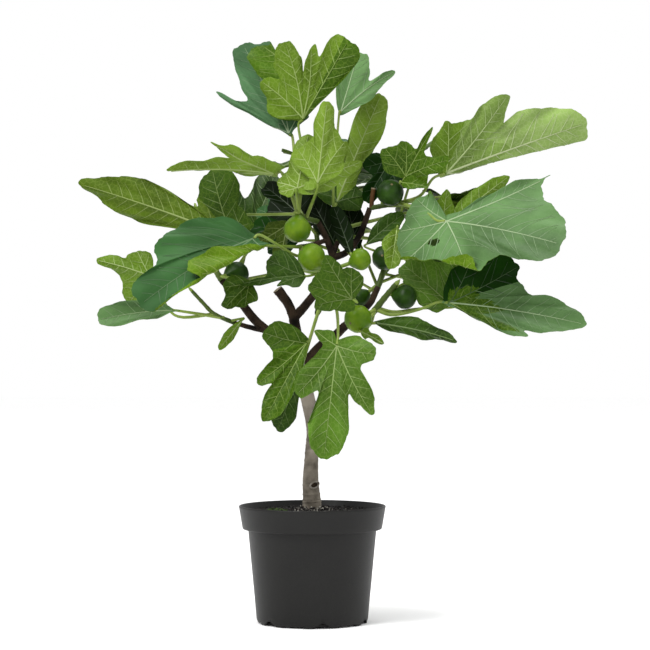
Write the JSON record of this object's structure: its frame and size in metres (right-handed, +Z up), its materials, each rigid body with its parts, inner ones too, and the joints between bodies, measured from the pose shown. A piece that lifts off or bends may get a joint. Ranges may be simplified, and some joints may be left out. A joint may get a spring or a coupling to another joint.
{
  "type": "potted fig tree",
  "caption": "Young fig tree with a short bare trunk, forking boughs, broad lobed leaves and green figs, in a black nursery pot.",
  "frame": {"origin": "centre of the pot's flat underside, on the floor that the pot stands on", "axes": "+Z up, -Y to the front of the plant, +X to the viewer's right from the front"},
  "size_m": [0.669, 0.4515, 0.7593],
  "materials": {
    "leaf": "soft leaf with pale veins",
    "fig": "smooth skin with a faint sheen",
    "bark": "rough grey-brown bark",
    "pot": "matt moulded plastic",
    "soil": "crumbly dark potting mix"
  },
  "bodies": {
    "root": {"pot": "pot", "soil": "soil", "trunk": "bark", "bough_centre": "bark", "bough_left": "bark", "bough_right": "bark", "bough_back_left": "bark", "bough_back_right": "bark", "bough_left_low": "bark", "bough_centre_stub": "bark", "bough_centre_upper": "bark", "bough_centre_front": "bark", "bough_back_upper": "bark", "bough_upper_right": "bark", "bough_top": "bark", "bough_upper_middle": "bark", "bough_left_upper": "bark", "bough_right_inner": "bark", "foliage_top": "leaf", "foliage_upper": "leaf", "foliage_right_high": "leaf", "foliage_right_low": "leaf", "foliage_right_mid": "leaf", "foliage_centre": "leaf", "foliage_left": "leaf", "foliage_left_low": "leaf", "foliage_left_mid": "leaf", "foliage_back_left": "leaf", "foliage_back_right": "leaf", "foliage_back_top": "leaf"}
  },
  "joints": []
}
